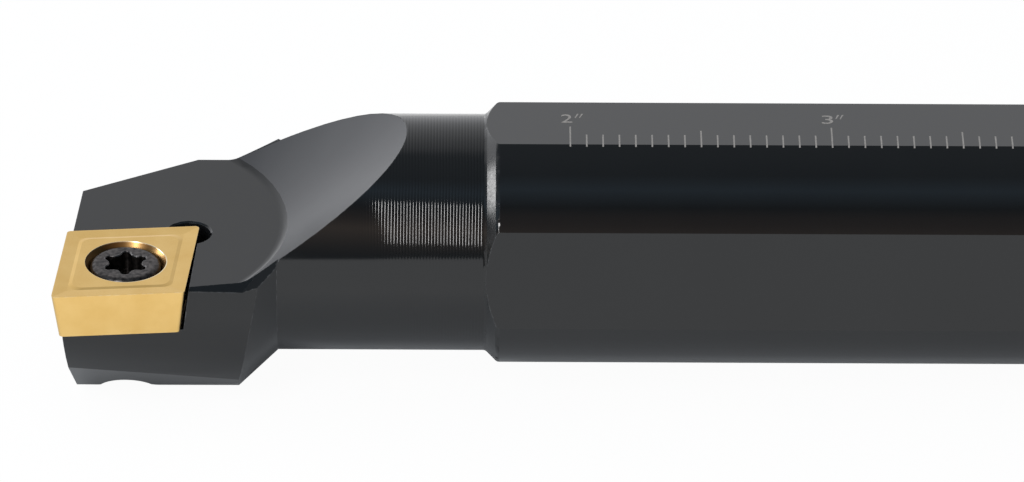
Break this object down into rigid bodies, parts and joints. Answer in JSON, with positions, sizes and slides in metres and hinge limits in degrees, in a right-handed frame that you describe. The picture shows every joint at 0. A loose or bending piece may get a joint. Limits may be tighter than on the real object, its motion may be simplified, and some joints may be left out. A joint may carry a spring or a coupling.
{
  "type": "boring bar",
  "caption": "Round boring bar with flats along the shank, a turned-down neck and a screwed-on rhombic insert at its head.",
  "frame": {"origin": "centre of the shank's rear end face, on the bar's axis", "axes": "+X along the bar toward the rear end, so the cutting head is at -X; +Z square to the top flat, on the insert's rake side; -Y toward the cutting nose"},
  "size_m": [0.3048, 0.0299, 0.0267],
  "materials": {
    "bar": "black oxide",
    "insert": "gold-coloured hard coating on carbide",
    "insert_screw": "dark steel"
  },
  "bodies": {
    "root": {"bar": "bar", "insert": "insert", "insert_screw": "insert_screw"}
  },
  "joints": []
}
